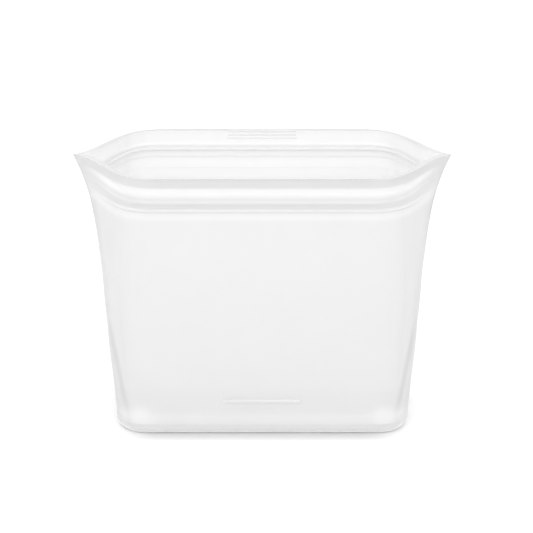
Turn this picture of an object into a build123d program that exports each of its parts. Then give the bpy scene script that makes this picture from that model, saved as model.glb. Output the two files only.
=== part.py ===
from build123d import *
import os
from math import atan2, cos, sin, sqrt

# A stand-up food storage bag moulded in one piece from silicone rubber.
# X runs along the mouth, Y from the front wall to the rear wall, Z up.
# The origin is the middle of the base on the surface that the bag stands on.
# One moulding is modelled as its working regions, each a solid of its own:
# the base and the side gussets stay still, and the front and rear walls, each
# with its lip and its half of the zip, swing inwards on a fold at the base.

# Driving dimensions, in millimetres
height = 138.0                # standing surface to the rim of the lips
foot_half_width = 71.9        # half the width at the base
draft = 0.0985                # how much the half width grows for each mm of height
flare_start = 85.0            # height where the sides begin to sweep out to the wings
flare_reach = 6.6             # how far the sweep adds to the half width at the rim
flare_power = 3.2
foot_half_depth = 30.0        # half the depth at the base
zip_half_depth = 29.6         # half the depth at the foot of the zip
rim_half_depth = 34.0         # half the depth at the rim
zip_foot = 120.0              # height where the walls lean out and the zip begins
lip_foot = 133.3              # height where the zip ends and the lip begins
wall = 1.5                    # thickness of the silicone
floor_thickness = 1.8
base_height = 6.0             # height of the stiff rim round the base
base_round = 5.0              # radius of the rounded bottom edge
floor_inset = 8.0             # edge of the floor panel, in from the outside
pinch = 6.0                   # how far the foot of each gusset folds inwards
pinch_top = 52.0              # height where that fold has faded out
eye_start = 60.0              # height where the ends begin to sharpen
wing_thickness = 4.3          # length of solid silicone at each tip of the rim
panel_half_length = 48.0      # half the length of the swinging part of each wall
side_gap = 0.3                # between a swinging wall and a gusset
fold_gap = 0.5                # between a swinging wall and the base rim
band_bulge = 2.6              # how far the zip band stands out of the wall
bead_radius = 0.9             # head of the zip's bead
bead_stem = 1.0               # thickness of the bead's stem
channel_rib = 1.0             # thickness of each rib of the zip's channel
channel_slot = 2.2            # gap between the two ribs
zip_reach = 2.4               # how far the channel's ribs stand out of the inner face
zip_centre = 8.9              # middle of the zip, up the leaning face from its foot
track_tip_gap = 6.0           # where the zip ends, in from the inner tip of the mouth
grip_half_length = 17.2       # ribs inside the rear lip, for a thumb
grip_rib = 0.9                # height of each rib
grip_proud = 0.45             # how far each rib stands out
grip_pitch = 1.7
bar_half_length = 19.6        # raised bar low on the front wall
bar_height = 2.0
bar_proud = 0.7
bar_centre = 18.7

# Shape of the outline's ends at three levels, in millimetres: the half length
# of the straight wall, how far its line runs on into the corner, and the two
# control points of the corner, in from the tip and away from the X axis
base_end = (58.2, 17.5, 11.9, 3.9, 0.0, 8.8)
middle_end = (56.0, 14.0, 1.0, 20.0, 0.0, 10.0)
rim_end = (50.8, 17.5, -16.3, 19.4, -10.9, 5.7)


def smooth(share):
    """A smooth step from 0 to 1."""
    share = min(max(share, 0.0), 1.0)
    return share * share * (3.0 - 2.0 * share)


def half_width(z):
    """Widest half width of the bag at one height."""
    sweep = max(z - flare_start, 0.0) / (height - flare_start)
    return foot_half_width + draft * z + flare_reach * sweep**flare_power


def half_depth(z):
    """Half depth of the outside of the walls at one height."""
    if z > zip_foot:
        lean = (rim_half_depth - zip_half_depth) / (height - zip_foot)
        return zip_half_depth + lean * (z - zip_foot)
    rise = (z - base_height) / (zip_foot - base_height)
    return foot_half_depth + (zip_half_depth - foot_half_depth) * max(rise, 0.0)


def edge_inset(z):
    """How far the rounded bottom edge draws the outline in at one height."""
    drop = max(base_round - z, 0.0)
    return base_round - sqrt(base_round**2 - drop**2)


def fold_share(z):
    """1 at the base, where the gussets fold inwards, and 0 above the fold."""
    return 1.0 - smooth((z - base_height) / (pinch_top - base_height))


def eye_share(z):
    """0 where the ends are round, and 1 at the rim, where they are pointed."""
    return (max(z - eye_start, 0.0) / (height - eye_start)) ** 1.5


def end_curve(z, inset, tip_inset):
    """Control points of a quarter of the outline, from the straight wall to the tip.

    The end is a rounded corner with an inward fold at the base, a plain round
    end half way up, and a pointed eye with a slight S at the rim.
    """
    fold = fold_share(z)
    corner = sqrt(fold)
    eye = eye_share(z)
    straight, shoulder, corner_x, corner_y, turn_x, turn_y = [
        middle + (base - middle) * corner + (rim - middle) * eye
        for base, middle, rim in zip(base_end, middle_end, rim_end)
    ]
    depth = half_depth(z) - inset
    scale = depth / half_depth(z)
    tip = half_width(z) - pinch * fold - tip_inset
    return [
        (straight, depth),
        (straight + shoulder, depth),
        (tip + corner_x * scale, corner_y * scale),
        (tip + turn_x * scale, turn_y * scale),
        (tip, 0.0),
    ]


def tip_wall(z):
    """Thickness of the silicone along X at the tip of the outline."""
    return wall + (wing_thickness - wall) * eye_share(z)


def flip(points, x_sign, y_sign):
    """The same points in another quarter of the outline."""
    return [(x * x_sign, y * y_sign) for x, y in points]


def end_face(z, inset, tip_inset):
    """Section of the right-hand end of the bag, closed across the wall split."""
    curve = end_curve(z, inset, tip_inset)
    split_x = panel_half_length + side_gap
    depth = curve[0][1]
    with BuildSketch(Plane.XY.offset(z)) as face:
        with BuildLine():
            Line((split_x, -depth), (curve[0][0], -depth))
            Bezier(*flip(curve, 1, -1))
            Bezier(*flip(curve, 1, 1)[::-1])
            Line((curve[0][0], depth), (split_x, depth))
            Line((split_x, depth), (split_x, -depth))
        make_face()
    return face.sketch


def full_face(z, inset):
    """Section of the whole bag at one height."""
    curve = end_curve(z, inset, inset)
    straight, depth = curve[0]
    with BuildSketch(Plane.XY.offset(z)) as face:
        with BuildLine():
            Line((-straight, -depth), (straight, -depth))
            Bezier(*flip(curve, 1, -1))
            Bezier(*flip(curve, 1, 1)[::-1])
            Line((straight, depth), (-straight, depth))
            Bezier(*flip(curve, -1, 1))
            Bezier(*flip(curve, -1, -1)[::-1])
        make_face()
    return face.sketch


def leaning(up, out):
    """Y and Z of a point on the front wall's leaning face.

    up is measured along the face from the foot of the zip, and out is measured
    away from its outside.
    """
    lean = atan2(rim_half_depth - zip_half_depth, height - zip_foot)
    y = zip_half_depth + up * sin(lean) + out * cos(lean)
    z = zip_foot + up * cos(lean) - out * sin(lean)
    return (-y, z)


def strip(label, outline, half_length):
    """A bar along X with one outline in the YZ plane."""
    with BuildPart() as bar:
        with BuildSketch(Plane.YZ):
            with BuildLine():
                Polyline(*outline, close=True)
            make_face()
        extrude(amount=half_length, both=True)
    bar.part.label = label
    return bar.part


def mirrored(label, source, plane):
    """The same piece on the other side of the bag."""
    with BuildPart() as twin:
        mirror(source, about=plane)
    twin.part.label = label
    return twin.part


def write(part):
    """Write one piece to its own STEP file, named after its label."""
    export_step(part, f"parts/{part.label}.step")


def write_corners(name, right_end, side):
    """Write the four quarters of a mouth end that lie on one side of the lip's foot."""
    with BuildPart() as corner:
        add(right_end)
        with Locations((panel_half_length, 0, lip_foot)):
            Box(
                wing_x - panel_half_length,
                height,
                height,
                align=(Align.MIN, Align.MAX, side),
                mode=Mode.INTERSECT,
            )
    corner.part.label = f"front_right_{name}"
    front_left = mirrored(f"front_left_{name}", corner.part, Plane.YZ)
    write(corner.part)
    write(front_left)
    write(mirrored(f"rear_right_{name}", corner.part, Plane.XZ))
    write(mirrored(f"rear_left_{name}", front_left, Plane.XZ))


def track_end(label, levels):
    """Ribs inside the front right end, one between each pair of heights."""
    with BuildPart() as track:
        for low, high in levels:
            loft([end_face(z, wall, tip_wall(z)) for z in (low, high)], ruled=True)
            loft(
                [
                    end_face(z, wall + zip_reach, tip_wall(z) + track_tip_gap)
                    for z in (low, high)
                ],
                ruled=True,
                mode=Mode.SUBTRACT,
            )
        with Locations((panel_half_length, 0, zip_level)):
            Box(
                wing_x - panel_half_length - track_tip_gap,
                height,
                height,
                align=(Align.MIN, Align.MAX, Align.CENTER),
                mode=Mode.INTERSECT,
            )
    track.part.label = label
    return track.part


os.makedirs("parts", exist_ok=True)

face_length = sqrt((rim_half_depth - zip_half_depth) ** 2 + (height - zip_foot) ** 2)
lip_start = (lip_foot - zip_foot) / (height - zip_foot) * face_length
zip_level = leaning(zip_centre, -wall - zip_reach / 2)[1]

# Base: a stiff rim with a rounded bottom edge, closed by a flat floor panel
floor_edge = [0.0, 0.6, 2.0, 3.6, base_round]
with BuildPart() as base_rim:
    loft([full_face(z, edge_inset(z)) for z in [*floor_edge, base_height]])
    loft(
        [full_face(z, wall + edge_inset(z)) for z in (floor_thickness, 3.6, base_height)],
        mode=Mode.SUBTRACT,
    )
    loft([full_face(z, floor_inset) for z in (0.0, floor_thickness)], mode=Mode.SUBTRACT)
base_rim.part.label = "base_rim"
write(base_rim.part)

with BuildPart() as floor_panel:
    loft([full_face(z, floor_inset) for z in (0.0, floor_thickness)])
floor_panel.part.label = "floor_panel"
write(floor_panel.part)

# Gussets: the two curved side walls, from the base rim to the foot of the zip
gusset_heights = [base_height, 15.0, 24.0, 33.0, 42.0, pinch_top, 68.0, 84.0, 98.0, 110.0, zip_foot]
with BuildPart() as right_gusset:
    loft([end_face(z, 0.0, 0.0) for z in gusset_heights])
    loft([end_face(z, wall, tip_wall(z)) for z in gusset_heights], mode=Mode.SUBTRACT)
right_gusset.part.label = "right_gusset"
write(right_gusset.part)
write(mirrored("left_gusset", right_gusset.part, Plane.YZ))

# Mouth ends: the lips and the zip curve in to a fused wing at each tip
mouth_heights = [zip_foot, 125.0, lip_foot, height]
wing_x = half_width(height) - wing_thickness
with BuildPart() as mouth_end:
    loft([end_face(z, 0.0, 0.0) for z in mouth_heights])
    loft([end_face(z, wall, tip_wall(z)) for z in mouth_heights], mode=Mode.SUBTRACT)

with BuildPart() as right_wing:
    add(mouth_end.part)
    with Locations((wing_x, 0, height)):
        Box(height, height, height, align=(Align.MIN, Align.CENTER, Align.CENTER), mode=Mode.INTERSECT)
right_wing.part.label = "right_wing"
write(right_wing.part)
write(mirrored("left_wing", right_wing.part, Plane.YZ))

band_profile = [
    (zip_foot, 0.0),
    (zip_foot + 1.2, 0.0),
    (zip_foot + 5.9, band_bulge),
    (zip_foot + 11.3, band_bulge),
    (lip_foot, 0.0),
]
with BuildPart() as band_end:
    loft([end_face(z, -out, 0.0) for z, out in band_profile], ruled=True)
    loft([end_face(z, wall, tip_wall(z)) for z, out in band_profile], ruled=True, mode=Mode.SUBTRACT)

write_corners("lip_end", mouth_end.part, Align.MIN)
write_corners("zip_end", band_end.part, Align.MAX)

# Zip ends: the channel and the bead follow the curve and die out before the tip
channel_half = channel_slot / 2
channel_levels = [
    (zip_level - channel_half - channel_rib, zip_level - channel_half),
    (zip_level + channel_half, zip_level + channel_half + channel_rib),
]
bead_levels = [(zip_level - bead_radius, zip_level + bead_radius)]
front_channel = track_end("front_right_channel_end", channel_levels)
write(front_channel)
write(mirrored("front_left_channel_end", front_channel, Plane.YZ))
rear_bead = mirrored("rear_right_bead_end", track_end("bead", bead_levels), Plane.XZ)
write(rear_bead)
write(mirrored("rear_left_bead_end", rear_bead, Plane.YZ))

# Front and rear walls: flat panels that swing on the fold at the base
panel_foot = base_height + fold_gap
front_wall = strip(
    "front_wall",
    [
        (-half_depth(panel_foot), panel_foot),
        (-zip_half_depth, zip_foot),
        (wall - zip_half_depth, zip_foot),
        (wall - half_depth(panel_foot), panel_foot),
    ],
    panel_half_length,
)
write(front_wall)
write(mirrored("rear_wall", front_wall, Plane.XZ))

# Zip bands: the thick band that backs each half of the zip
front_zip_band = strip(
    "front_zip_band",
    [
        (wall - zip_half_depth, zip_foot),
        (-zip_half_depth, zip_foot),
        leaning(1.2, 0.0),
        leaning(6.7, band_bulge),
        leaning(12.2, band_bulge),
        leaning(lip_start, 0.0),
        leaning(lip_start, -wall),
    ],
    panel_half_length,
)
write(front_zip_band)
write(mirrored("rear_zip_band", front_zip_band, Plane.XZ))

# Lips: thin flaps above the zip, rounded along the rim
lip_round = 0.6
with BuildPart() as front_lip:
    with BuildSketch(Plane.YZ):
        with BuildLine():
            Polyline(
                leaning(lip_start, 0.0),
                leaning(face_length, 0.0),
                leaning(face_length, -wall),
                leaning(lip_start, -wall),
                close=True,
            )
        make_face()
    extrude(amount=panel_half_length, both=True)
    fillet(front_lip.edges().filter_by(Axis.X).group_by(Axis.Z)[-2:], lip_round)
front_lip.part.label = "front_lip"
write(front_lip.part)
write(mirrored("rear_lip", front_lip.part, Plane.XZ))

# Zip: a channel of two ribs inside the front wall, and a bead inside the rear wall
with BuildPart() as front_zip_channel:
    for side in (-1, 1):
        low = zip_centre + side * channel_slot / 2
        high = low + side * channel_rib
        with BuildSketch(Plane.YZ):
            with BuildLine():
                Polyline(
                    leaning(low, -wall),
                    leaning(high, -wall),
                    leaning(high, -wall - zip_reach),
                    leaning(low, -wall - zip_reach),
                    close=True,
                )
            make_face()
        extrude(amount=panel_half_length, both=True)
front_zip_channel.part.label = "front_zip_channel"
write(front_zip_channel.part)

with BuildPart() as front_bead:
    with BuildSketch(Plane.YZ):
        with BuildLine():
            Polyline(
                leaning(zip_centre - bead_stem / 2, -wall),
                leaning(zip_centre + bead_stem / 2, -wall),
                leaning(zip_centre + bead_stem / 2, -wall - zip_reach + bead_radius),
                leaning(zip_centre - bead_stem / 2, -wall - zip_reach + bead_radius),
                close=True,
            )
        make_face()
        with Locations(leaning(zip_centre, -wall - zip_reach + bead_radius)):
            Circle(bead_radius)
    extrude(amount=panel_half_length, both=True)
write(mirrored("rear_zip_bead", front_bead.part, Plane.XZ))

# Grip ribs inside the rear lip
with BuildPart() as front_grips:
    for step in (-1, 0, 1):
        middle = (lip_start + face_length) / 2 + step * grip_pitch
        with BuildSketch(Plane.YZ):
            with BuildLine():
                Polyline(
                    leaning(middle - grip_rib / 2, -wall),
                    leaning(middle + grip_rib / 2, -wall),
                    leaning(middle + grip_rib / 4, -wall - grip_proud),
                    leaning(middle - grip_rib / 4, -wall - grip_proud),
                    close=True,
                )
            make_face()
        extrude(amount=grip_half_length, both=True)
write(mirrored("rear_grip_ribs", front_grips.part, Plane.XZ))

# Raised bar low on the front wall
bar_low = bar_centre - bar_height / 2
bar_high = bar_centre + bar_height / 2
front_bar = strip(
    "front_bar",
    [
        (-half_depth(bar_low), bar_low),
        (-half_depth(bar_high), bar_high),
        (-half_depth(bar_high) - bar_proud, bar_high - bar_proud / 2),
        (-half_depth(bar_low) - bar_proud, bar_low + bar_proud / 2),
    ],
    bar_half_length,
)
write(front_bar)
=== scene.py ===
import math

import bmesh
import bpy
import numpy as np
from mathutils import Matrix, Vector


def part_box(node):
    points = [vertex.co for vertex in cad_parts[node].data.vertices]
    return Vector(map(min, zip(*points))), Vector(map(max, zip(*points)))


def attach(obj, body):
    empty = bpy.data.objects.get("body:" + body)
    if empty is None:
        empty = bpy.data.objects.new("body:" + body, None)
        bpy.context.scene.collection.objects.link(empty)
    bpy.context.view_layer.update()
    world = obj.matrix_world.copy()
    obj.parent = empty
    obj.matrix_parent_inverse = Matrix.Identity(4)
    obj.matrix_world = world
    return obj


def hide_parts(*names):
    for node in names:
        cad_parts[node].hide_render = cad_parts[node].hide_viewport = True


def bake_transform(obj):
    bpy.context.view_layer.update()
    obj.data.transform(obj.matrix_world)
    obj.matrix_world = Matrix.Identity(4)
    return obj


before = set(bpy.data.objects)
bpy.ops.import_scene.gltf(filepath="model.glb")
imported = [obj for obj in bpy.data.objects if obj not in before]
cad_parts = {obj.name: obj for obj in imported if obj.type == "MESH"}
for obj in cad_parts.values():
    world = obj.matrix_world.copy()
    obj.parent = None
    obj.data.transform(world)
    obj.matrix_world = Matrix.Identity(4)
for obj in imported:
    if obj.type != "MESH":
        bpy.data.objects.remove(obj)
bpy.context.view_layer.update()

# The bag is one silicone moulding. The frame holds it as stiff regions, and
# here it is skinned again: a base that stands still and, for the front and
# the rear, a lower wall and a zipped lip, each in two halves. Sizes are in
# millimetres and turn to metres when a mesh is made.
# Heights and depths come from the frame, and the outline repeats the part's.
# The rounding of the bottom edge, the zip and its band, and how far the bar
# and the grip ribs stand out follow the photograph, and differ a little from
# the part's.
MM = 0.001


def edge(node, corner, axis):
    """One face of a CAD node's box, in millimetres."""
    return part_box(node)[corner][axis] / MM


# ---------------------------------------------------------------- sizes
WALL = 1.5                              # thickness of the silicone
WING = 4.3                              # solid silicone at each tip of the rim
HEIGHT = edge("front_right_lip_end", 1, 2)
BASE_HEIGHT = edge("base_rim", 1, 2)
ZIP_FOOT = edge("front_wall", 1, 2)     # height where the walls lean out
LIP_FOOT = edge("front_right_lip_end", 0, 2)
FLOOR_TOP = edge("floor_panel", 1, 2)
FOOT_HALF_DEPTH = edge("base_rim", 1, 1)
ZIP_HALF_DEPTH = WALL - edge("front_wall", 1, 1)
RIM_HALF_DEPTH = -edge("front_right_lip_end", 0, 1)
HALF_WIDTH = edge("right_wing", 1, 0)
FOOT_HALF_WIDTH = 71.9
DRAFT = 0.0985                          # growth of the half width per mm of height
FLARE_START = 85.0                      # height where the sides sweep out to the wings
FLARE_POWER = 3.2
FLARE_REACH = HALF_WIDTH - FOOT_HALF_WIDTH - DRAFT * HEIGHT
RIM_CROWN = 0.2                         # the rim's round edge may stand this far above HEIGHT
LEAN_OUT = RIM_HALF_DEPTH - ZIP_HALF_DEPTH
LEAN = math.atan2(LEAN_OUT, HEIGHT - ZIP_FOOT)
FACE_TOP = math.hypot(LEAN_OUT, HEIGHT - ZIP_FOOT)
LIP_START = (LIP_FOOT - ZIP_FOOT) / (HEIGHT - ZIP_FOOT) * FACE_TOP

# Base and gussets.
BASE_ROUND = 3.8                        # radius of the rounded bottom edge
TIP_SWEEP = 1.3                         # how much wider the rounding is at the ends
FLOOR_INSET = 8.0                       # from the outer face to the flat underside
FLOOR_EDGE = 6.2                        # from the outer face to the inner floor's edge
PINCH = 6.0                             # inward fold at the foot of each gusset
PINCH_TOP = 52.0

# The rounded end of a level outline, at the base, half way up and at the rim: the
# straight half length, the shoulder after it, and from the tip the corner's X and
# Y and the last turn's X and Y.
BASE_END = np.array((58.2, 17.5, 11.9, 3.9, 0.0, 8.8))
MIDDLE_END = np.array((56.0, 14.0, 1.0, 20.0, 0.0, 10.0))
RIM_END = np.array((50.8, 17.5, -16.3, 19.4, -10.9, 5.7))
EYE_START = 60.0                        # height where the ends begin to sharpen
EYE_POWER = 1.5
STRAIGHT_STEPS = 14
END_STEPS = 48

# Zip: two ribs inside the front and a bead inside the rear.
ZIP_REACH = 2.1                         # height of the ribs and the bead
ZIP_ROOT = 0.2                          # how deep they start inside the wall
ZIP_CENTRE = 8.9                        # up the leaning face from its foot
BEAD_RADIUS = 0.85
BEAD_TURNS = range(-140, 141, 28)       # degrees round the bead's head
CHANNEL_SLOT = 2.2
CHANNEL_RIB = 1.0
TRACK_LIMIT = 81.0                      # where the zip ends towards each tip
TRACK_TAPER = 26.0
TRACK_TIP_GAP = 6.0

# Profiles across the leaning zip and lip: (up the face, out from it, tone).
# The tones are painted shade and painted highlights: darker where the face turns
# down and under the band, paler where it turns up, with a dark line on the rim.
OUTSIDE = (
    (0.0, 0.0, 0.4), (0.15, 0.0, 0.35), (0.4, 0.5, 0.2), (1.05, 0.6, 0.4),
    (1.7, 0.15, 0.75), (2.3, 0.2, 0.95), (6.0, 2.15, 0.95), (6.5, 2.6, 0.9),
    (7.0, 2.75, 0.47), (9.2, 2.75, 0.76), (10.5, 2.75, 0.3), (11.4, 2.75, 0.1),
    (12.4, 2.5, 0.0), (13.3, 0.4, 0.2), (13.9, 0.0, 0.9), (14.6, 0.0, 1.08),
    (17.6, 0.0, 1.08),
)
RIM = (
    (17.6, 0.0, 1.08), (18.3, 0.0, 1.4), (FACE_TOP, -0.35, 1.6), (FACE_TOP, -1.15, 1.6),
    (18.3, -WALL, 1.5), (17.9, -WALL, 0.1), (17.6, -WALL, 0.1),
)
INSIDE = (
    (17.6, -WALL, 0.0), (15.0, -WALL, 0.0), (11.5, -WALL, 0.12), (11.1, -1.82, 0.3),
    (10.5, -1.85, 0.7), (9.0, -1.85, 0.65), (8.2, -1.85, 0.0), (5.2, -1.82, 0.0),
    (4.8, -WALL, 0.4), (4.3, -WALL, 0.0), (1.5, -WALL, 0.0), (0.0, -WALL, 0.1),
)

# ---------------------------------------------------------------- tones and painted shade
# A tone darkens the colour at a point: a tone of 1 takes a quarter off it. Most
# tones are painted shade and painted highlights; the ribs, the bar and the grip
# lines take an even tone. A pair is where a change starts, or ends, and the
# span that it takes.
DARKEST_TONE = 1.6
DARKEST_FACTOR = 1.0 - 0.25 * DARKEST_TONE
RIB_TONE = 0.12
BAR_TONE = 0.25
GRIP_TONE = 0.08
BASE_SHADE = 0.75                        # painted shade round the upper half of the base rim
BASE_FOOT, BASE_TOP = (2.6, 1.6), (6.4, 0.7)
EDGE_SHADE, EDGE_WIDTH = 1.35, 2.4       # painted shade along the edge of the solid tips
EDGE_RISE = (92.0, 14.0)                # the height where that sets in
TIP_FADE = 16.0                         # the zip band dies out this near the tips
# Painted shade near the tips, where the zip band's tones fade out.
TIP_INSIDE_SHADE = 0.02
TIP_OUTSIDE_SHADE, TIP_TOP_SHADE = 0.8, 0.25
TIP_RISE = (2.0, 10.0)                  # up the face, where the top shade is added
RIM_LINE_FOOT = 18.0                    # the rim's painted dark line thins out round the ends
RIM_LINE_THIN = 0.3
RIM_LINE_SPAN = (45.0, 18.0)            # along X

OUTER_SHADE = 0.47                       # painted shade: the outer faces are darker than the inner ones
OUTER_RISE = 0.0017                     # and more so per mm of height
INNER_SHADE = 0.08
FOOT_SHADE, FOOT_SPAN = 0.34, (13.0, 2.5)     # painted light: a paler band over the base rim
LOW_SHADE, LOW_SPAN = 0.08, (27.0, 6.0)       # and a band of painted shade above it
SHINE, SHINE_SPAN = 0.5, (114.0, 3.0)        # a painted highlight: the pale band under the zip
# Painted shade at the top of the wall, just under the zip band.
TOP_SHADE, TOP_DROP, TOP_SPAN = 0.6, 1.5, 0.8
TOP_TIP_GAP = 4.0
HIGHLIGHT_PLACE, HIGHLIGHT_RADIUS = (60.0, 9.0), 7.0  # a painted soft highlight near each bottom corner
HIGHLIGHT_SHARE, HIGHLIGHT_SPREAD = 0.8, 1.3
SIDE_SHADE, SIDE_WIDTH = 0.33, 5.0       # painted shade along the sides, standing in for the eye looking through more silicone there
NEAR_SIDE_SHADE, NEAR_SIDE_WIDTH = 0.08, 22.0
FOLD_SHADE, FOLD_WIDTH = 0.52, 2.4       # painted shade in the crease between the wall and the gusset's fold
FOLD_PLACE, FOLD_LEAN, FOLD_MIDDLE = 2.5, 0.08, 55.0
FOLD_FOOT, FOLD_TOP = (10.0, 8.0), (64.0, 22.0)


# ---------------------------------------------------------------- shape of the bag
def smooth(share):
    share = np.clip(share, 0.0, 1.0)
    return share * share * (3.0 - 2.0 * share)


def rising(value, start, span):
    """0 up to the start, 1 from a span after it, smooth between."""
    return smooth((value - start) / span)


def falling(value, end, span):
    """1 up to a span before the end, 0 from the end, smooth between."""
    return smooth((end - value) / span)


def half_width(z):
    sweep = max(z - FLARE_START, 0.0) / (HEIGHT - FLARE_START)
    return FOOT_HALF_WIDTH + DRAFT * z + FLARE_REACH * sweep**FLARE_POWER


def half_depth(z):
    if z > ZIP_FOOT:
        return ZIP_HALF_DEPTH + math.tan(LEAN) * (z - ZIP_FOOT)
    rise = max(z - BASE_HEIGHT, 0.0) / (ZIP_FOOT - BASE_HEIGHT)
    return FOOT_HALF_DEPTH + (ZIP_HALF_DEPTH - FOOT_HALF_DEPTH) * rise


def edge_inset(z):
    """How far the rounded bottom edge draws in at a height."""
    drop = max(BASE_ROUND - z, 0.0)
    return BASE_ROUND - math.sqrt(BASE_ROUND**2 - drop**2)


def eye_share(z):
    """How far the ends have sharpened to the wings at a height: 1 at the rim."""
    return (max(z - EYE_START, 0.0) / (HEIGHT - EYE_START)) ** EYE_POWER


def tip_wall(z):
    """Thickness of the silicone at the tips."""
    return WALL + (WING - WALL) * eye_share(z)


def fold_share(z):
    """How far the gussets fold in at a height: 1 at the base, 0 from PINCH_TOP up."""
    return 1.0 - rising(z, BASE_HEIGHT, PINCH_TOP - BASE_HEIGHT)


def quarter_outline(z, depth, tip_inset):
    """A quarter of a level outline at one half depth, from the middle of the wall to the tip."""
    fold = fold_share(z)
    shape = MIDDLE_END + (BASE_END - MIDDLE_END) * math.sqrt(fold) + (RIM_END - MIDDLE_END) * eye_share(z)
    straight, shoulder, corner_x, corner_y, turn_x, turn_y = shape
    scale = depth / half_depth(z)
    tip = half_width(z) - PINCH * fold - tip_inset
    control = (
        (straight, depth),
        (straight + shoulder, depth),
        (tip + corner_x * scale, corner_y * scale),
        (tip + turn_x * scale, turn_y * scale),
        (tip, 0.0),
    )
    t = np.linspace(0.0, 1.0, END_STEPS + 1)[:, None]
    degree = len(control) - 1
    end = sum(
        math.comb(degree, i) * (1 - t) ** (degree - i) * t**i * np.array(point)
        for i, point in enumerate(control)
    )
    across = np.linspace(0.0, straight, STRAIGHT_STEPS + 1)[:-1]
    points = np.concatenate((np.stack((across, np.full(len(across), depth)), axis=1), end))
    return np.column_stack((points, np.full(len(points), z)))


def on_face(up, out):
    """Height and half depth of a point up the leaning face and out from it."""
    z = ZIP_FOOT + up * math.cos(LEAN) - out * math.sin(LEAN)
    depth = ZIP_HALF_DEPTH + up * math.sin(LEAN) + out * math.cos(LEAN)
    return z, depth


def on_lip(up, out):
    """A point of the leaning face, kept between the foot of the zip and the rim."""
    z, depth = on_face(up, out)
    return min(max(z, ZIP_FOOT), HEIGHT + RIM_CROWN), depth


def rounded(profile, times=2):
    """Cuts the corners of an open profile, and keeps its two ends."""
    points = np.array(profile, dtype=float)
    for _ in range(times):
        ahead, behind = points[1:], points[:-1]
        cut = np.stack((0.75 * behind + 0.25 * ahead, 0.25 * behind + 0.75 * ahead), axis=1)
        points = np.concatenate((points[:1], cut.reshape(-1, points.shape[1])[1:-1], points[-1:]))
    return points


def from_tip(ring, z):
    """How far each point of a ring is from the bag's side, along X."""
    return half_width(z) - ring[:, 0]


# ---------------------------------------------------------------- meshes
SHARP_ANGLE = math.radians(60)
BAR_END_STEPS, BAR_STEPS, BAR_ARCH_STEPS = 6, 12, 11
BAR_FULLNESS = 0.8                      # under 1, a bar's arch is fuller than half a circle
BAR_TIP = 0.02                          # size of a bar's last ring, as a share of its section


def make_piece(name, vertices, faces, material, tones_and_shades=0.0, seams=()):
    """One mesh, with its tone and painted shade at each point and which faces are only seams."""
    mesh = bpy.data.meshes.new(name)
    mesh.from_pydata((np.array(vertices) * MM).tolist(), [], faces)
    tone_and_shade = mesh.attributes.new("tone_and_shade", "FLOAT", "POINT")
    tone_and_shade.data.foreach_set("value", (np.zeros(len(mesh.vertices)) + tones_and_shades) / DARKEST_TONE)
    seam = mesh.attributes.new("seam", "FLOAT", "FACE")
    marked = np.zeros(len(mesh.polygons))
    marked[list(seams)] = 1.0
    seam.data.foreach_set("value", marked)
    piece = bpy.data.objects.new(name, mesh)
    bpy.context.scene.collection.objects.link(piece)
    work = bmesh.new()
    work.from_mesh(mesh)
    bmesh.ops.recalc_face_normals(work, faces=work.faces)
    work.to_mesh(mesh)
    work.free()
    mesh.polygons.foreach_set("use_smooth", [True] * len(mesh.polygons))
    mesh.set_sharp_from_angle(angle=SHARP_ANGLE)
    mesh.materials.append(material)
    return piece


def strips_along(ring_count, count):
    """Faces between open rings of points, each joined to the next and the last to the first."""
    faces = []
    for ring in range(ring_count):
        a, b = ring * count, (ring + 1) % ring_count * count
        faces += [(a + i, a + i + 1, b + i + 1, b + i) for i in range(count - 1)]
    return faces


def tube_along(ring_count, count):
    """Faces between closed rings of points, each joined to the next."""
    faces = []
    for ring in range(ring_count - 1):
        a, b = ring * count, (ring + 1) * count
        for i in range(count):
            ahead = (i + 1) % count
            faces.append((a + i, a + ahead, b + ahead, b + i))
    return faces


def end_caps(ring_count, count):
    """The two faces that close a loop of open rings at its ends."""
    first = [ring * count for ring in range(ring_count)]
    last = [ring * count + count - 1 for ring in range(ring_count)]
    return [first, last[::-1]]


def skin(name, rings, tones_and_shades, hand, side, material, seam_bands):
    """A closed skin through level rings of points on one quarter of the bag.

    Its ends, and the bands listed, meet other skins of the same moulding: they are seams."""
    count = len(rings[0])
    faces = strips_along(len(rings), count)
    seams = [band * (count - 1) + i for band in seam_bands for i in range(count - 1)]
    seams += [len(faces), len(faces) + 1]
    faces += end_caps(len(rings), count)
    vertices = np.concatenate(rings) * (hand, side, 1)
    return make_piece(name, vertices, faces, material, np.concatenate(tones_and_shades), seams)


def track(name, loops, hand, side, material):
    """Ribs that follow the inside of the mouth: closed loops of (up, reach) from the inner face."""
    vertices, faces, seams = [], [], []
    inset = tip_wall(HEIGHT)
    reference = quarter_outline(*on_face(ZIP_CENTRE, -WALL), inset)
    keep = reference[:, 0] <= TRACK_LIMIT
    taper = falling(reference[:, 0], TRACK_LIMIT, TRACK_TAPER)[keep, None]
    for loop in loops:
        rings = []
        for up, reach in loop:
            gap = TRACK_TIP_GAP * max(reach, 0) / ZIP_REACH
            root = quarter_outline(*on_face(up, -WALL + ZIP_ROOT), inset)[keep]
            crest = quarter_outline(*on_face(up, -WALL - reach), inset + gap)[keep]
            rings.append((root + (crest - root) * taper) * (hand, side, 1))
        count = len(rings[0])
        first = len(vertices)
        vertices += [point for ring in rings for point in ring]
        new = strips_along(len(rings), count)
        seams.append(len(faces) + len(new))
        new += end_caps(len(rings), count)
        faces += [[first + i for i in face] for face in new]
    return make_piece(name, vertices, faces, material, RIB_TONE, seams)


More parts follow.
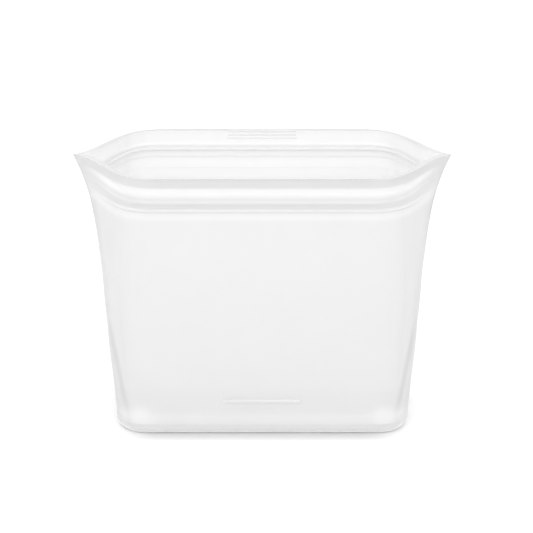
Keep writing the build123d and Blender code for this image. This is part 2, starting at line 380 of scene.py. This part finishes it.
def raised_bars(name, bars, half_length, height, material, tone_and_shade):
    """Soft raised bars along X: each (depth, z, out_y, out_z, proud) is a bar's middle and its way out."""
    vertices, faces = [], []
    radius = height / 2
    straight = half_length - radius
    turn = radius * (1 - np.cos(np.linspace(0, math.pi / 2, BAR_END_STEPS)))
    between = np.linspace(-straight, straight, BAR_STEPS)[1:-1]
    lengths = np.concatenate((turn - half_length, between, half_length - turn[::-1]))
    for depth, z, out_y, out_z, proud in bars:
        across = np.array((0.0, -out_z, out_y))
        outward = np.array((0.0, out_y, out_z))
        rings = []
        for x in lengths:
            gap = max(abs(x) - straight, 0.0) / radius
            size = math.sqrt(max(1.0 - gap * gap, BAR_TIP**2))
            middle = np.array((x, depth, z))
            half = across * radius * size
            ring = [
                middle + half * math.cos(a) + outward * (math.sin(a) ** BAR_FULLNESS * proud * size)
                for a in np.linspace(0, math.pi, BAR_ARCH_STEPS)
            ]
            root = middle - outward * ZIP_ROOT
            rings.append(ring + [root - half, root + half])
        count = len(rings[0])
        first = len(vertices)
        vertices += [point for ring in rings for point in ring]
        new = tube_along(len(rings), count)
        new.append(list(range(count))[::-1])
        new.append([(len(rings) - 1) * count + i for i in range(count)])
        faces += [[first + i for i in face] for face in new]
    return make_piece(name, vertices, faces, material, tone_and_shade)


# ---------------------------------------------------------------- silicone
TRANSLUCENT = 0.15
MOTTLE, MOTTLE_SCALE = 0.012, 38.0      # faint clouds in the colour and the gloss
GLOSS_SPREAD = 0.06
GRAIN_SCALE, GRAIN_STRENGTH, GRAIN_HEIGHT = 900.0, 0.12, 0.00006
VEIL_SPAN = (0.3, 0.95)                 # the silicone is clearest where the eye meets it square on
MIX_FIRST, MIX_SECOND, MIX_OUT = 6, 7, 2  # colour sockets of a Mix node


def make_node(tree, kind, **values):
    """A new node, with its inputs set by name."""
    made = tree.nodes.new(kind)
    for socket, value in values.items():
        made.inputs[socket.replace("_", " ")].default_value = value
    return made


def colour_mix(tree):
    made = tree.nodes.new("ShaderNodeMix")
    made.data_type = "RGBA"
    return made


def scaled(colour, factor):
    """A colour times a factor, with its alpha."""
    return (*[min(channel * factor, 1) for channel in colour], 1)


def silicone(name, colour, clear, roughness):
    material = bpy.data.materials.new(name)
    material.use_nodes = True
    tree = material.node_tree
    tree.nodes.clear()
    link = tree.links.new

    place = make_node(tree, "ShaderNodeTexCoord")
    cloud = make_node(tree, "ShaderNodeTexNoise", Scale=MOTTLE_SCALE, Detail=3.0, Roughness=0.55)
    link(place.outputs["Object"], cloud.inputs["Vector"])
    mottled = colour_mix(tree)
    mottled.inputs[MIX_FIRST].default_value = scaled(colour, 1 - MOTTLE)
    mottled.inputs[MIX_SECOND].default_value = scaled(colour, 1 + MOTTLE)
    link(cloud.outputs["Fac"], mottled.inputs[0])
    # Painted shade and painted highlights: the tone attribute darkens the colour.
    depth = make_node(tree, "ShaderNodeAttribute")
    depth.attribute_name = "tone_and_shade"
    shaded_colour = colour_mix(tree)
    shaded_colour.inputs[MIX_SECOND].default_value = scaled(colour, DARKEST_FACTOR)
    link(mottled.outputs[MIX_OUT], shaded_colour.inputs[MIX_FIRST])
    link(depth.outputs["Fac"], shaded_colour.inputs[0])

    gloss = make_node(
        tree, "ShaderNodeMapRange", To_Min=roughness - GLOSS_SPREAD, To_Max=roughness + GLOSS_SPREAD
    )
    link(cloud.outputs["Fac"], gloss.inputs["Value"])
    grain = make_node(tree, "ShaderNodeTexNoise", Scale=GRAIN_SCALE, Detail=2.0, Roughness=0.5)
    link(place.outputs["Object"], grain.inputs["Vector"])
    frost = make_node(tree, "ShaderNodeBump", Strength=GRAIN_STRENGTH, Distance=GRAIN_HEIGHT)
    link(grain.outputs["Fac"], frost.inputs["Height"])

    surface = make_node(tree, "ShaderNodeBsdfPrincipled", IOR=1.41, Specular_IOR_Level=0.5)
    link(shaded_colour.outputs[MIX_OUT], surface.inputs["Base Color"])
    link(gloss.outputs[0], surface.inputs["Roughness"])
    link(frost.outputs[0], surface.inputs["Normal"])
    glow = make_node(tree, "ShaderNodeBsdfTranslucent")
    link(shaded_colour.outputs[MIX_OUT], glow.inputs["Color"])
    body = make_node(tree, "ShaderNodeMixShader", Fac=TRANSLUCENT)
    link(surface.outputs[0], body.inputs[1])
    link(glow.outputs[0], body.inputs[2])

    facing = make_node(tree, "ShaderNodeLayerWeight", Blend=0.5)
    veil = make_node(tree, "ShaderNodeMapRange", To_Min=1.0 - clear, To_Max=1.0)
    veil.inputs["From Min"].default_value, veil.inputs["From Max"].default_value = VEIL_SPAN
    link(facing.outputs["Facing"], veil.inputs["Value"])
    seam = make_node(tree, "ShaderNodeAttribute")
    seam.attribute_name = "seam"
    shown = make_node(tree, "ShaderNodeMath")
    shown.operation = "SUBTRACT"
    shown.use_clamp = True
    link(veil.outputs[0], shown.inputs[0])
    link(seam.outputs["Fac"], shown.inputs[1])
    whole = make_node(tree, "ShaderNodeMixShader")
    link(shown.outputs[0], whole.inputs[0])
    link(make_node(tree, "ShaderNodeBsdfTransparent").outputs[0], whole.inputs[1])
    link(body.outputs[0], whole.inputs[2])
    link(whole.outputs[0], make_node(tree, "ShaderNodeOutputMaterial").inputs["Surface"])
    return material


CLEAR_WHITE, RIB_WHITE = (0.985, 0.985, 0.987), (0.965, 0.965, 0.967)
skin_material = silicone("frosted_silicone", CLEAR_WHITE, clear=0.35, roughness=0.4)
thick_material = silicone("thick_silicone", CLEAR_WHITE, clear=0.3, roughness=0.36)
rib_material = silicone("rib_silicone", RIB_WHITE, clear=0.3, roughness=0.36)


# ---------------------------------------------------------------- lips and zip
INNER_FACE = 0.05 - WALL                # a point further in than this is on the inner face


def lip_ring(up, out, tone_and_shade):
    """One ring of the lip's skin and its painted shade. The zip band's relief dies out at the tips."""
    z, depth = on_lip(up, out)
    inset = smooth(-out / WALL) * tip_wall(z)
    full = quarter_outline(z, depth, inset)
    plain = quarter_outline(*on_lip(up, min(max(out, -WALL), 0.0)), inset)
    fade = rising(from_tip(full, z), inset, TIP_FADE)
    # Painted shade near the tips, where the band's tones fade out.
    at_tip = TIP_OUTSIDE_SHADE + TIP_TOP_SHADE * rising(up, *TIP_RISE)
    if out < INNER_FACE:
        at_tip = TIP_INSIDE_SHADE
    # The rim's painted dark line thins out round the ends.
    if up > RIM_LINE_FOOT:
        tone_and_shade = tone_and_shade * (1.0 - RIM_LINE_THIN * rising(full[:, 0], *RIM_LINE_SPAN))
    # Painted shade along the edge of the solid tips.
    along_edge = EDGE_SHADE * falling(from_tip(full, z), EDGE_WIDTH, EDGE_WIDTH)
    ring = plain + (full - plain) * fade[:, None]
    return ring, np.maximum(tone_and_shade * fade + at_tip * (1.0 - fade), along_edge)


lip_profile = np.concatenate((rounded(OUTSIDE), rounded(RIM)[1:], rounded(INSIDE)[1:]))
lip_rings, lip_shades = map(list, zip(*[lip_ring(*point) for point in lip_profile]))
lip_rings[-1] = quarter_outline(ZIP_FOOT, ZIP_HALF_DEPTH - WALL, tip_wall(ZIP_FOOT))


def rib_loop(centre):
    """Section of one of the channel's ribs."""
    half = CHANNEL_RIB / 2
    up_side = [
        (-half - 0.15, -ZIP_ROOT), (-half - 0.1, 0.25), (-half, 0.7),
        (-half, ZIP_REACH - 0.5), (-half + 0.2, ZIP_REACH - 0.1),
    ]
    loop = up_side + [(0.0, ZIP_REACH)] + [(-up, reach) for up, reach in up_side[::-1]]
    return [(centre + up, reach) for up, reach in loop]


def bead_loop(centre):
    """Section of the bead: a stem with a round head."""
    head = ZIP_REACH - BEAD_RADIUS
    loop = [(-0.75, -ZIP_ROOT), (-0.55, 0.3)]
    loop += [
        (BEAD_RADIUS * math.sin(math.radians(a)), head + BEAD_RADIUS * math.cos(math.radians(a)))
        for a in BEAD_TURNS
    ]
    loop += [(0.55, 0.3), (0.75, -ZIP_ROOT)]
    return [(centre + up, reach) for up, reach in loop]


# ---------------------------------------------------------------- walls
def outer_shade(ring, z):
    """Painted shade and painted highlights of one ring of the wall's outer face."""
    inward = ring[:, 0].max() - ring[:, 0]
    side = SIDE_SHADE * falling(inward, SIDE_WIDTH, SIDE_WIDTH)
    side += NEAR_SIDE_SHADE * falling(inward, NEAR_SIDE_WIDTH, NEAR_SIDE_WIDTH)
    crease = FOLD_PLACE + FOLD_LEAN * (FOLD_MIDDLE - z)
    fold = FOLD_SHADE * falling(np.abs(inward - crease), FOLD_WIDTH, FOLD_WIDTH)
    fold *= rising(z, *FOLD_FOOT) * falling(z, *FOLD_TOP)
    foot = falling(z, *FOOT_SPAN)
    shine = SHINE * rising(z, *SHINE_SPAN)
    top = TOP_SHADE * rising(z, ZIP_FOOT - TOP_DROP, TOP_SPAN)
    top = top * rising(from_tip(ring, z), TOP_TIP_GAP, TIP_FADE)
    plain = OUTER_SHADE + OUTER_RISE * z + LOW_SHADE * falling(z, *LOW_SPAN)
    wall = plain * (1.0 - foot) * (1.0 - shine) + FOOT_SHADE * foot + fold + top + side
    away = np.hypot(ring[:, 0] - HIGHLIGHT_PLACE[0], z - HIGHLIGHT_PLACE[1])
    wall *= 1.0 - HIGHLIGHT_SHARE * falling(away, HIGHLIGHT_SPREAD * HIGHLIGHT_RADIUS, HIGHLIGHT_RADIUS)
    return np.maximum(wall, EDGE_SHADE * rising(z, *EDGE_RISE) * falling(inward, EDGE_WIDTH, EDGE_WIDTH))


wall_heights = [*np.linspace(BASE_HEIGHT, ZIP_FOOT - 1.2, 56), ZIP_FOOT - 0.8, ZIP_FOOT - 0.4, ZIP_FOOT]
wall_rings = [quarter_outline(z, half_depth(z), 0.0) for z in wall_heights]
wall_shades = [outer_shade(ring, z) for ring, z in zip(wall_rings, wall_heights)]
wall_rings += [quarter_outline(z, half_depth(z) - WALL, tip_wall(z)) for z in wall_heights[::-1]]
wall_shades += [np.full(len(wall_rings[0]), INNER_SHADE)] * len(wall_heights)


def bend(piece):
    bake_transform(piece)


rib_offset = (CHANNEL_SLOT + CHANNEL_RIB) / 2
channel_loops = [rib_loop(ZIP_CENTRE - rib_offset), rib_loop(ZIP_CENTRE + rib_offset)]
wall_seams = (len(wall_heights) - 1, len(wall_rings) - 1)
lip_seams = (len(lip_rings) - 1,)
for where, side in (("front", -1), ("rear", 1)):
    for which, hand in (("left", -1), ("right", 1)):
        end = f"{where}_{which}"
        lower = skin(f"{end}_wall_skin", wall_rings, wall_shades, hand, side, skin_material, wall_seams)
        bend(lower)
        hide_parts(f"{where}_wall")
        upper = skin(f"{end}_lip_skin", lip_rings, lip_shades, hand, side, thick_material, lip_seams)
        bend(upper)
        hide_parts(f"{where}_zip_band", f"{where}_lip", f"{end}_lip_end", f"{end}_zip_end")
        if side < 0:
            zip_track = track(f"{end}_zip_ribs", channel_loops, hand, side, rib_material)
            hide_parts("front_zip_channel", f"{end}_channel_end")
        else:
            zip_track = track(f"{end}_zip_bead", [bead_loop(ZIP_CENTRE)], hand, side, rib_material)
            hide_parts("rear_zip_bead", f"{end}_bead_end")
        bend(zip_track)

# ---------------------------------------------------------------- base
# Rows of the base from the underside out, up and over to the inner floor: (height, inset).
outer_heights = (
    0.08, 0.3, 0.7, 1.2, 1.9, 2.6, 3.2, 3.8, 4.3, 4.6, 4.9, 5.2, 5.5, 5.8, BASE_HEIGHT,
)
inner_heights = (BASE_HEIGHT, 5.0, 4.0, 3.2, 2.5)
base_rows = [(0.0, FLOOR_INSET), (0.0, BASE_ROUND)]
base_rows += [(z, edge_inset(z)) for z in outer_heights]
base_rows += [(z, WALL + edge_inset(z)) for z in inner_heights]
base_rows += [(FLOOR_TOP, FLOOR_EDGE), (FLOOR_TOP, FLOOR_INSET)]


def full_ring(z, inset):
    """A whole level outline, from four mirrored quarters."""
    quarter = quarter_outline(z, half_depth(z) - inset, inset + TIP_SWEEP * edge_inset(z))
    right = np.concatenate((quarter * (1, -1, 1), quarter[-2::-1]))
    return np.concatenate((right, right[-2:0:-1] * (-1, 1, 1)))


base_rings = [full_ring(z, inset) for z, inset in base_rows]
count = len(base_rings[0])
faces = tube_along(len(base_rings), count)
faces.append(list(range(count)))
faces.append([(len(base_rings) - 1) * count + i for i in range(count)][::-1])
# Painted shade round the upper half of the base rim.
base_row_shades = [BASE_SHADE * rising(z, *BASE_FOOT) * falling(z, *BASE_TOP) for z, inset in base_rows]
top_band = [z for z, inset in base_rows].index(BASE_HEIGHT)
base = make_piece(
    "base_skin", np.concatenate(base_rings), faces, thick_material, np.repeat(base_row_shades, count),
    range(top_band * count, (top_band + 1) * count),
)
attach(base, "pouch_base")
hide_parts("base_rim", "floor_panel", "left_gusset", "right_gusset", "left_wing", "right_wing")

# ---------------------------------------------------------------- front bar and grip lines
BAR_HEIGHT, BAR_PROUD = 2.0, 0.8
GRIP_HEIGHT, GRIP_PROUD, GRIP_STEP = 0.95, 0.27, 1.7

bar_z = (edge("front_bar", 0, 2) + edge("front_bar", 1, 2)) / 2
bar = raised_bars(
    "front_bar_raised", [(-half_depth(bar_z), bar_z, -1.0, 0.0, BAR_PROUD)],
    edge("front_bar", 1, 0), BAR_HEIGHT, rib_material, BAR_TONE,
)
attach(bar, "front_panel")
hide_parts("front_bar")

grip_lines = []
for step in (-1, 0, 1):
    z, depth = on_face((LIP_START + FACE_TOP) / 2 + GRIP_STEP * step, -WALL)
    grip_lines.append((depth, z, -math.cos(LEAN), math.sin(LEAN), GRIP_PROUD))
grips = raised_bars(
    "rear_grip_lines", grip_lines, edge("rear_grip_ribs", 1, 0), GRIP_HEIGHT, rib_material, GRIP_TONE
)
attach(grips, "rear_panel")
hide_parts("rear_grip_ribs")

# ---------------------------------------------------------------- stage and light
scene = bpy.context.scene
WHITE = (1, 1, 1, 1)
FLOOR_HALF = 6.0                             # metres
FLOOR_SEEN, FLOOR_BOUNCE = 0.96, 0.9         # the camera meets a paler floor than the bag does
CONTACT_REACH, CONTACT_DEPTH = 0.0078, 0.43  # how far in metres and how deep the painted contact shadow goes
CONTACT_TILT = 1.5                           # more of it falls in front of the bag
CONTACT_SPAN = (0.048, 0.072)                # and it fades out towards the bag's corners
CONTACT_SIDE = 0.15
SKY_LOW, SKY_HIGH, SKY_SEEN = 0.77, 1.2, 1.05  # at the nadir, overhead and to the camera
KEY_ELEVATION = math.radians(52)
KEY_DISTANCE, KEY_AIM = 1.5, 0.07            # metres to the bag's middle, and its height
KEY_SIZE = (1.3, 0.9)
KEY_FRONT, KEY_REAR = 5.3, 3.0               # watts


def grey(level):
    return (level, level, level, 1)


def contact_shadow_share(tree):
    """How much of the painted contact shadow a point of the floor takes, by its place along X."""
    place = make_node(tree, "ShaderNodeTexCoord")
    parts = make_node(tree, "ShaderNodeSeparateXYZ")
    tree.links.new(place.outputs["Object"], parts.inputs[0])
    aside = make_node(tree, "ShaderNodeMath")
    aside.operation = "ABSOLUTE"
    tree.links.new(parts.outputs["X"], aside.inputs[0])
    fade = make_node(tree, "ShaderNodeMapRange", To_Min=CONTACT_DEPTH, To_Max=CONTACT_SIDE)
    fade.interpolation_type = "SMOOTHSTEP"
    fade.inputs["From Min"].default_value, fade.inputs["From Max"].default_value = CONTACT_SPAN
    tree.links.new(aside.outputs[0], fade.inputs["Value"])
    return fade.outputs[0]


def camera_sees(tree, others, camera):
    """A shader that is one thing to the camera and another to every other ray."""
    path = make_node(tree, "ShaderNodeLightPath")
    mix = make_node(tree, "ShaderNodeMixShader")
    tree.links.new(path.outputs["Is Camera Ray"], mix.inputs[0])
    tree.links.new(others.outputs[0], mix.inputs[1])
    tree.links.new(camera.outputs[0], mix.inputs[2])
    return mix.outputs[0]


def pale_floor():
    material = bpy.data.materials.new("floor")
    material.use_nodes = True
    tree = material.node_tree
    tree.nodes.clear()
    link = tree.links.new
    # A painted contact shadow: ambient occlusion near the bag darkens the floor's colour.
    contact_shadow = make_node(tree, "ShaderNodeAmbientOcclusion", Distance=CONTACT_REACH, Color=grey(FLOOR_SEEN))
    contact_shadow.samples = 16
    toward = make_node(tree, "ShaderNodeCombineXYZ", Y=CONTACT_TILT, Z=1.0)
    link(toward.outputs[0], contact_shadow.inputs["Normal"])
    shadowed_floor = colour_mix(tree)
    shadowed_floor.inputs[MIX_FIRST].default_value = grey(FLOOR_SEEN)
    link(contact_shadow.outputs["Color"], shadowed_floor.inputs[MIX_SECOND])
    link(contact_shadow_share(tree), shadowed_floor.inputs[0])
    seen = make_node(tree, "ShaderNodeBsdfDiffuse")
    link(shadowed_floor.outputs[MIX_OUT], seen.inputs["Color"])
    bounced = make_node(tree, "ShaderNodeBsdfDiffuse", Color=grey(FLOOR_BOUNCE))
    out = make_node(tree, "ShaderNodeOutputMaterial")
    link(camera_sees(tree, bounced, seen), out.inputs["Surface"])
    return material


def studio_world():
    """White to the camera, and to the bag a dome that is brighter overhead."""
    world = bpy.data.worlds.new("studio")
    world.use_nodes = True
    tree = world.node_tree
    tree.nodes.clear()
    link = tree.links.new
    heading = make_node(tree, "ShaderNodeTexCoord")
    parts = make_node(tree, "ShaderNodeSeparateXYZ")
    link(heading.outputs["Generated"], parts.inputs[0])
    strength = make_node(tree, "ShaderNodeMapRange", To_Min=SKY_LOW, To_Max=SKY_HIGH)
    link(parts.outputs["Z"], strength.inputs["Value"])
    dome = make_node(tree, "ShaderNodeBackground", Color=WHITE)
    link(strength.outputs[0], dome.inputs["Strength"])
    seen = make_node(tree, "ShaderNodeBackground", Color=WHITE, Strength=SKY_SEEN)
    link(camera_sees(tree, dome, seen), make_node(tree, "ShaderNodeOutputWorld").inputs[0])
    return world


def softbox(name, azimuth, power):
    """A soft area light, high up and turned to the bag."""
    around = math.radians(azimuth)
    lamp = bpy.data.lights.new(name, "AREA")
    lamp.shape = "RECTANGLE"
    lamp.size, lamp.size_y = KEY_SIZE
    lamp.energy = power
    holder = bpy.data.objects.new(name, lamp)
    scene.collection.objects.link(holder)
    level = KEY_DISTANCE * math.cos(KEY_ELEVATION)
    height = KEY_DISTANCE * math.sin(KEY_ELEVATION) + KEY_AIM
    holder.location = (level * math.sin(around), -level * math.cos(around), height)
    holder.rotation_euler = (math.pi / 2 - KEY_ELEVATION, 0, around)


floor_mesh = bpy.data.meshes.new("floor")
floor_corners = [(x * FLOOR_HALF, y * FLOOR_HALF, 0) for x, y in ((-1, -1), (1, -1), (1, 1), (-1, 1))]
floor_mesh.from_pydata(floor_corners, [], [(0, 1, 2, 3)])
floor = bpy.data.objects.new("floor", floor_mesh)
scene.collection.objects.link(floor)
floor_mesh.materials.append(pale_floor())

scene.world = studio_world()
softbox("key_front", azimuth=-8, power=KEY_FRONT)
softbox("key_rear", azimuth=172, power=KEY_REAR)
scene.view_settings.view_transform = "Standard"
scene.cycles.max_bounces = 16
scene.cycles.diffuse_bounces = 8
scene.cycles.transparent_max_bounces = 24

# ---------------------------------------------------------------- camera
CAMERA_ELEVATION = math.radians(24.03)
CAMERA_DISTANCE = 1.3
CAMERA_AIM = (0.0021, 0.0, 0.0782)
VIEW_WIDTH = 0.264                      # metres across the picture, where the camera aims
SENSOR = 36.0

camera = bpy.data.objects.new("camera", bpy.data.cameras.new("camera"))
scene.collection.objects.link(camera)
scene.camera = camera
camera.location = (
    CAMERA_AIM[0],
    CAMERA_AIM[1] - CAMERA_DISTANCE * math.cos(CAMERA_ELEVATION),
    CAMERA_AIM[2] + CAMERA_DISTANCE * math.sin(CAMERA_ELEVATION),
)
camera.rotation_euler = (math.pi / 2 - CAMERA_ELEVATION, 0, 0)
camera.data.lens = SENSOR * CAMERA_DISTANCE / VIEW_WIDTH
camera.data.clip_start = 0.05
camera.data.clip_end = 30
